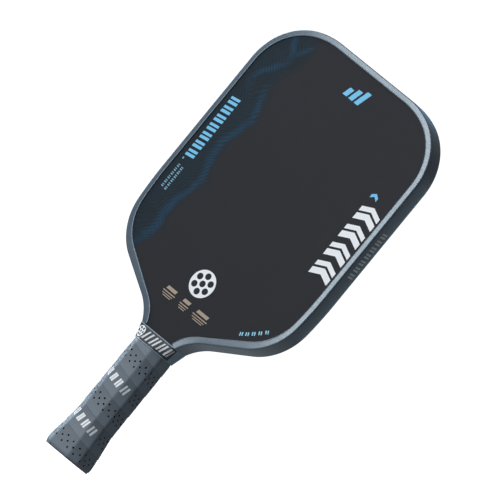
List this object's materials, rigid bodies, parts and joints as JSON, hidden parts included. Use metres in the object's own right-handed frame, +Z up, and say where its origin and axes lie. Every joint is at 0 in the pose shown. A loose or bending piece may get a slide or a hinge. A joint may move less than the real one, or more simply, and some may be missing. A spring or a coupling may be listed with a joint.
{
  "type": "pickleball paddle",
  "caption": "Pickleball paddle: a rounded rectangular foam-core head with a raised edge guard, a rubber neck collar and a wrapped octagonal handle with a flared butt.",
  "frame": {"origin": "centre of the butt's end, on the plane that the paddle stands on", "axes": "+Z up the handle to the top of the head, +X to the right seen from the front, -Y out of the front face"},
  "size_m": [0.2048, 0.0368, 0.4064],
  "materials": {
    "face_carbon": "raw carbon face, matte with a fine peel-ply grain",
    "carbon_ply": "cured carbon and resin, hidden",
    "glass_ply": "cured glass fibre and resin, hidden",
    "adhesive": "cured film or tape adhesive, hidden",
    "block_foam": "light expanded bead foam, hidden",
    "ring_foam": "soft closed-cell foam, hidden",
    "dense_foam": "dense structural foam, hidden",
    "edge_guard": "satin moulded slate grey",
    "butt_plastic": "satin moulded black",
    "tape": "thin woven tape",
    "grip_wrap": "smooth perforated synthetic leather, satin slate grey",
    "collar_rubber": "smooth semi-gloss rubber",
    "staple_steel": "bright wire"
  },
  "bodies": {
    "root": {"core_foam_block": "block_foam", "core_foam_ring": "ring_foam", "core_perimeter_band": "dense_foam", "handle_spine": "dense_foam", "front_adhesive_film": "adhesive", "back_adhesive_film": "adhesive", "front_glass_ply": "glass_ply", "back_glass_ply": "glass_ply", "front_cross_ply": "carbon_ply", "back_cross_ply": "carbon_ply", "front_face_sheet": "face_carbon", "back_face_sheet": "face_carbon", "edge_guard": "edge_guard", "edge_guard_tape": "adhesive", "front_handle_pallet": "dense_foam", "back_handle_pallet": "dense_foam", "butt_cap": "butt_plastic", "butt_end_plate": "butt_plastic", "grip_base_tape": "tape", "grip_staple": "staple_steel", "grip_wrap": "grip_wrap", "finishing_tape": "tape", "rubber_collar": "collar_rubber"}
  },
  "joints": []
}
